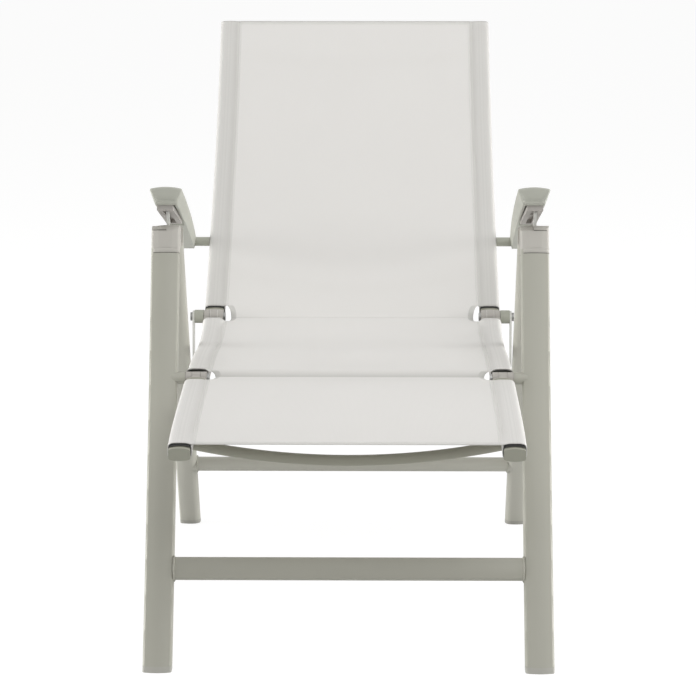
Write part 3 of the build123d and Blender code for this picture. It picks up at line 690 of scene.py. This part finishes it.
def sheet_grid(line, s, cuts, dip):
    """The sheet between the seams: straight across, its rise lowered by the dip at each s."""
    edge = np.linspace(1 - edge_share, 1, edge_columns)
    middle = np.linspace(edge_share - 1, 1 - edge_share, sheet_columns)[1:-1]
    across = np.concatenate([-edge[::-1], middle, edge])
    widths = half_width(s, cuts)[:, None]
    x = widths * across
    roll = np.clip(1 - (widths - np.abs(x)) / hem_width, 0, 1) ** 2
    roll = roll * np.clip(roll_gain * sum(in_cut(s, cuts)), 0, 1)[:, None]
    rise = (sheet_rise - dip)[:, None] - hem_roll * roll
    chart = np.stack([x, np.broadcast_to(s[:, None], x.shape)], axis=-1)
    return lifted(line, s[:, None], x, rise), chart


def sleeve_grid(line, s, side, growth, lift):
    """The sleeve round one rail: a superellipse from the seam over the rail, round its outer
    side and back under the seam, grown all round and lifted on top by the amounts at each s."""
    turn = np.linspace(np.radians(sleeve_first), np.radians(sleeve_last), sleeve_columns)
    out, up = superellipse(turn, sleeve_squareness)
    x = rail_x + (sleeve_half_width + growth[:, None]) * out
    h = (sleeve_half_height + growth[:, None]) * up + lift[:, None] * np.clip(up, 0, 1)
    from_seam = (turn - np.radians(sleeve_first - sleeve_ease)) / np.radians(sleeve_ease)
    ease = smooth(np.clip(from_seam, 0, 1))
    x = x * (1 - ease) + seam_x * ease
    h = h * (1 - ease) + sheet_rise * ease
    girth = 4 * (sleeve_half_width + sleeve_half_height) * sleeve_girth
    length = np.linspace(0, girth, sleeve_columns)
    chart = np.stack(np.broadcast_arrays(seam_x + length, s[:, None]), axis=-1)
    return lifted(line, s[:, None], side * x, h), chart


def even(start, stop, step):
    """Distances from start to stop, about a step apart."""
    return np.linspace(start, stop, max(3, int(round(abs(stop - start) / step)) + 1))


def mark_shade_and_doubling(piece, over_rail, cuts, shades):
    """Marks how far the cloth takes its darker colour, partly for doubled cloth and partly as
    painted
    shade: over a rail, in the hems of the cut-outs, and by shades, each a place along the line,
    its reach either way, its share, and the least x that it covers."""
    count = len(piece.data.vertices)
    place, chart = np.zeros(count * 3), np.zeros(len(piece.data.loops) * 2)
    corner = np.zeros(len(piece.data.loops), int)
    piece.data.vertices.foreach_get("co", place)
    piece.data.loops.foreach_get("vertex_index", corner)
    piece.data.uv_layers["cloth"].data.foreach_get("uv", chart)
    s = np.zeros(count)
    s[corner] = chart[1::2]
    x = np.abs(place[::3])
    share = over_rail * np.clip((x - seam_x) / rail_fade, 0, 1)
    hem = np.clip((hem_width - half_width(s, cuts) + x) / hem_fade, 0, 1)
    hem = hem * np.clip(hem_gain * sum(in_cut(s, cuts)), 0, 1) * (x < seam_x + hem_overlap)
    share = np.maximum(share, hem_darkness * hem)
    for middle, reach, strength, least_x in shades:
        fade = np.clip(1 - np.abs(s - middle) / reach, 0, 1) * (x >= least_x)
        share = np.maximum(share, strength * smooth(fade))
    mark = piece.data.attributes.new("backing", "FLOAT", "POINT")
    mark.data.foreach_set("value", share.astype(np.float32))


def sling(title, line, s, dip, sleeve_s, growth, lift, cuts, over_rail, shades):
    """A sling's cloth: the sheet between the seams and a sleeve round either rail, marked where
    it is darker for doubled cloth and painted shade, and thickened evenly to both sides."""
    grids = [sheet_grid(line, s, cuts, dip)]
    grids += [sleeve_grid(line, sleeve_s, side, growth, lift) for side in sides.values()]
    piece = made_mesh(title, grids, mesh_cloth)
    mark_shade_and_doubling(piece, over_rail, cuts, shades)
    solid = piece.modifiers.new("thickness", "SOLIDIFY")
    solid.thickness, solid.offset = cloth_thickness, 0
    return piece


cloth_step = 0.003

# The seat's cloth dips to the front hinge, and its sleeves stand fuller towards their ends.
seat_first, seat_dip, seat_dip_reach, seat_dip_power = 0.002, 0.0125, 0.03, 1.6
front_cut_reach, rear_cut_reach = 0.026, 0.018
seat_sleeve_start, seat_sleeve_stop = 0.012, seat_length - rear_cut_reach
front_fullness_reach, rear_fullness_reach = 0.02, 0.03
sleeve_fullness, sleeve_slack = 0.0014, 0.0045
seat_s = even(seat_first, seat_length, cloth_step)
seat_sleeve_s = even(seat_sleeve_start, seat_sleeve_stop, cloth_step)
to_end = np.maximum(
    np.clip(1 - (seat_sleeve_stop - seat_sleeve_s) / rear_fullness_reach, 0, 1),
    np.clip(1 - (seat_sleeve_s - seat_sleeve_start) / front_fullness_reach, 0, 1),
) ** 2
seat_cloth = sling(
    "seat_cloth", seat_line, seat_s,
    seat_dip * np.clip(1 - seat_s / seat_dip_reach, 0, 1) ** seat_dip_power,
    seat_sleeve_s, sleeve_fullness * to_end, sleeve_slack * to_end,
    cuts=[(0.0, front_cut_reach), (seat_length, rear_cut_reach)], over_rail=0.06,
    # The first shade is painted shade under the seat's rolled front edge; the others darken the
    # cloth beside the sleeve ends.
    shades=[
        (0.0, 0.026, 0.6, 0), (seat_sleeve_stop, 0.005, 0.3, seam_x),
        (seat_sleeve_start, 0.012, 0.35, seam_x),
    ],
)

# The back's cloth runs a little past the rails' ends, to the hem at the top.
back_top, back_sleeve_start = back_length + 0.008, bend_length + 0.029
back_cut_reach = bend_length + 0.031
back_s = even(0.0, back_top, cloth_step)
back_sleeve_s = even(back_sleeve_start, back_top, cloth_step)
back_cloth = sling(
    "back_cloth", back_line, back_s, 0 * back_s,
    back_sleeve_s, 0 * back_sleeve_s, 0 * back_sleeve_s,
    cuts=[(0.0, back_cut_reach)], over_rail=0.24,
    # The shades darken the top hem and the cloth beside the sleeves' lower ends.
    shades=[(back_top, 0.009, 0.3, 0), (back_sleeve_start, 0.011, 0.4, seam_x)],
)

# The footrest's cloth dips to its hinge and stops short of the end caps, its sleeves slack there.
foot_first, foot_stop, foot_dip, foot_dip_reach = 0.003, foot_length - 0.008, 0.007, 0.022
foot_sleeve_start, foot_slack, foot_slack_reach = 0.034, 0.0016, 0.04
foot_s = even(foot_first, foot_stop, cloth_step)
foot_sleeve_s = even(foot_sleeve_start, foot_stop, cloth_step)
foot_end = np.clip((foot_sleeve_s - foot_stop + foot_slack_reach) / foot_slack_reach, 0, 1)
foot_cloth = sling(
    "foot_cloth", foot_line, foot_s, foot_dip * np.clip(1 - foot_s / foot_dip_reach, 0, 1) ** 2,
    foot_sleeve_s, 0 * foot_end, foot_slack * foot_end**2,
    # The shade darkens the front hem.
    cuts=[(0.0, foot_sleeve_start)], over_rail=0.08, shades=[(foot_stop, 0.007, 0.2, 0)],
)

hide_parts("sling_seat")
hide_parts("sling_back")
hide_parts("sling_foot")
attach(foot_cloth, "footrest")
# The sling is one over seat and back. Points on its line before, at and above the hinge are worked
# out, and both cloths are fixed in place.
back_blend = 0.03
before_hinge = lifted(seat_line, np.array(seat_sleeve_stop), 0.0, sheet_rise)
hinge_point = lifted(back_line, np.array(0.0), 0.0, sheet_rise)
above_hinge = lifted(back_line, np.array(back_blend), 0.0, sheet_rise)
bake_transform(seat_cloth)
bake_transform(back_cloth)

# Lock-stitched rows beside the sleeves and along the hems: a thread that swells at each stitch.
# The outer row of each sleeve lies on the doubled cloth, a little higher.
stitch_pitch, stitch_step, thread_width, thread_height = 0.0034, 0.0008, 0.0009, 0.0007
stitch_waist, stitch_roundness = 0.25, 0.6
thread_rise = sheet_rise + cloth_thickness / 2
inner_row, outer_row, outer_rise = -0.0022, 0.0035, 0.0002


def stitch_row(line, s, x, rise):
    """A row of stitches through the places at s along a line and x across, rise above it."""
    path = lifted(line, s, x, rise)
    run = np.linalg.norm(np.diff(path, axis=0, prepend=path[:1]), axis=1).cumsum()
    hump = np.abs(np.sin(np.pi * run / stitch_pitch)) ** stitch_roundness
    swell = stitch_waist + (1 - stitch_waist) * hump
    above = lifted(line, s, x, rise + 0.001) - path
    return bead(path, above, thread_width, thread_height, around=6, swell=swell)


def stitched(title, line, inner, outer, hems):
    """Rows of stitches along both sleeves, the inner and the outer row each from a start to a
    stop, and across each hem."""
    rows = []
    for side in sides.values():
        for place, more, ends in ((inner_row, 0, inner), (outer_row, outer_rise, outer)):
            s = even(*ends, stitch_step)
            rows.append(stitch_row(line, s, side * (seam_x + place), thread_rise + more))
    for hem in hems:
        rows.append(stitch_row(line, hem, even(-seam_x, seam_x, stitch_step), thread_rise))
    return made_mesh(title, rows, thread)


row_end, seat_outer_start, back_outer_gap, back_hem, foot_hem = 0.001, 0.034, 0.006, 0.0065, 0.006
seat_thread = stitched(
    "seat_stitches", seat_line, (front_cut_reach, seat_sleeve_stop),
    (seat_outer_start, seat_sleeve_stop - rear_fullness_reach), []
)
back_thread = stitched(
    "back_stitches", back_line, (back_cut_reach + row_end, back_top - row_end),
    (back_sleeve_start + back_outer_gap, back_top - row_end), [back_top - back_hem]
)
foot_thread = stitched(
    "foot_stitches", foot_line, (foot_sleeve_start, foot_stop - row_end),
    (foot_sleeve_start, foot_stop - foot_slack_reach), [foot_stop - foot_hem]
)
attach(seat_thread, "seat")
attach(back_thread, "backrest")
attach(foot_thread, "footrest")

# Painted shade: a dark band round each rail at each open sleeve end stands for the shadow between
# rail
# and sleeve there: where it starts and stops along the line, and how far it is lifted on top.
mouth_painted_shade = grained("sleeve_mouth", (46, 46, 44), 1500.0, 0.03, (0.7, 0.8), 0.00002)
mouth_half_width, mouth_half_height, mouth_depth = 0.0154, 0.0099, 0.004
mouth_rows, mouth_points = 4, 61
mouths = {
    "seat": (seat_line, seat_sleeve_start + mouth_depth, seat_sleeve_start - 0.001, 0.0036),
    "backrest": (back_line, back_sleeve_start + mouth_depth, back_sleeve_start - 0.0035, 0.0),
    "footrest": (foot_line, foot_stop - mouth_depth, foot_stop + 0.0052, 0.0006),
}
out, up = superellipse(np.linspace(0, 2 * np.pi, mouth_points), sleeve_squareness)
for body, (line, start, stop, lift) in mouths.items():
    s = np.linspace(start, stop, mouth_rows)[:, None]
    rise = mouth_half_height * up + lift * np.clip(up, 0, 1)
    bands = []
    for side in sides.values():
        grid = lifted(line, s, side * (rail_x + mouth_half_width * out), rise)
        bands.append((grid, flat_map(grid)))
    piece = made_mesh(f"{body}_sleeve_mouths", bands, mouth_painted_shade)
    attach(piece, body)


# Floor, light and camera
# A pale floor that is seen as white far behind the chair, a light grey backdrop past it, soft
# light from above, in front and both sides, and the photograph's long lens above the chair.

floor_reach, floor_grey, floor_seen_grey, floor_seen_glow = 40.0, 0.8, 0.2, 0.87
floor_mesh = bpy.data.meshes.new("floor")
floor_mesh.from_pydata(
    [(floor_reach * x, floor_reach * y, 0) for x, y in ((-1, -1), (1, -1), (1, 1), (-1, 1))],
    [],
    [(0, 1, 2, 3)],
)
floor = bpy.data.objects.new("floor", floor_mesh)
bpy.context.scene.collection.objects.link(floor)
floor_material = bpy.data.materials.new("pale_floor")
floor_material.use_nodes = True
floor_tree = floor_material.node_tree
floor_shader = floor_tree.nodes["Principled BSDF"]
floor_shader.inputs["Base Color"].default_value = (floor_grey, floor_grey, floor_grey, 1)
floor_shader.inputs["Roughness"].default_value = 0.9
floor_shader.inputs["Specular IOR Level"].default_value = 0
floor_view = floor_tree.nodes.new("ShaderNodeBsdfDiffuse")
floor_view.inputs["Color"].default_value = (floor_seen_grey, floor_seen_grey, floor_seen_grey, 1)
floor_glow = floor_tree.nodes.new("ShaderNodeEmission")
floor_glow.inputs["Strength"].default_value = floor_seen_glow
floor_sum = floor_tree.nodes.new("ShaderNodeAddShader")
floor_rays = floor_tree.nodes.new("ShaderNodeLightPath")
floor_mix = floor_tree.nodes.new("ShaderNodeMixShader")
floor_tree.links.new(floor_view.outputs[0], floor_sum.inputs[0])
floor_tree.links.new(floor_glow.outputs[0], floor_sum.inputs[1])
floor_tree.links.new(floor_rays.outputs["Is Camera Ray"], floor_mix.inputs[0])
floor_tree.links.new(floor_shader.outputs[0], floor_mix.inputs[1])
floor_tree.links.new(floor_sum.outputs[0], floor_mix.inputs[2])
floor_tree.links.new(floor_mix.outputs[0], floor_tree.nodes["Material Output"].inputs[0])
floor_mesh.materials.append(floor_material)

fill_colour, fill_strength, backdrop_strength = (1.0, 1.0, 0.985, 1), 0.47, 1.0
world = bpy.data.worlds.new("studio")
bpy.context.scene.world = world
world.use_nodes = True
air = world.node_tree
studio_fill = air.nodes["Background"]
studio_fill.inputs["Color"].default_value = fill_colour
studio_fill.inputs["Strength"].default_value = fill_strength
backdrop = air.nodes.new("ShaderNodeBackground")
backdrop.inputs["Strength"].default_value = backdrop_strength
rays = air.nodes.new("ShaderNodeLightPath")
air_mix = air.nodes.new("ShaderNodeMixShader")
seen = air.nodes.new("ShaderNodeMath")
seen.operation = "MAXIMUM"
air.links.new(rays.outputs["Is Camera Ray"], seen.inputs[0])
air.links.new(rays.outputs["Is Glossy Ray"], seen.inputs[1])
air.links.new(seen.outputs[0], air_mix.inputs[0])
air.links.new(studio_fill.outputs[0], air_mix.inputs[1])
air.links.new(backdrop.outputs[0], air_mix.inputs[2])
air.links.new(air_mix.outputs[0], air.nodes["World Output"].inputs[0])


def softbox(title, place, aim, size, power):
    """A square lamp of soft light at a place, turned to its aim."""
    lamp = bpy.data.lights.new(title, "AREA")
    lamp.size, lamp.energy = size, power
    lit = bpy.data.objects.new(title, lamp)
    lit.location = place
    lit.rotation_euler = (Vector(aim) - Vector(place)).to_track_quat("-Z", "Y").to_euler()
    bpy.context.scene.collection.objects.link(lit)


chair_middle, chair_low = (0, 0, 0.45), (0, 0, 0.3)
softbox("front_light", (0.5, -1.9, 2.3), chair_middle, 1.8, 21)
softbox("overhead_light", (0, 0.9, 3.4), chair_middle, 3.0, 24)
softbox("left_light", (-3.0, -0.1, 0.4), chair_low, 1.4, 90)
softbox("right_light", (3.0, -0.1, 0.4), chair_low, 1.4, 84)

camera_place = Vector((0.0364, -4.1765, 1.313))
camera_fall, camera_turn, camera_roll = 12.8, 0.577, -0.02
focal_pixels, photo_pixels, sensor = 2646.0, 696.0, 36.0
lens = bpy.data.cameras.new("camera")
lens.sensor_width = sensor
lens.lens = focal_pixels / photo_pixels * sensor
camera = bpy.data.objects.new("camera", lens)
camera.matrix_world = (
    Matrix.Translation(camera_place)
    @ Matrix.Rotation(np.radians(camera_turn), 4, "Z")
    @ Matrix.Rotation(np.radians(90 - camera_fall), 4, "X")
    @ Matrix.Rotation(np.radians(camera_roll), 4, "Z")
)
bpy.context.scene.collection.objects.link(camera)
bpy.context.scene.camera = camera
bpy.context.scene.view_settings.view_transform = "Standard"
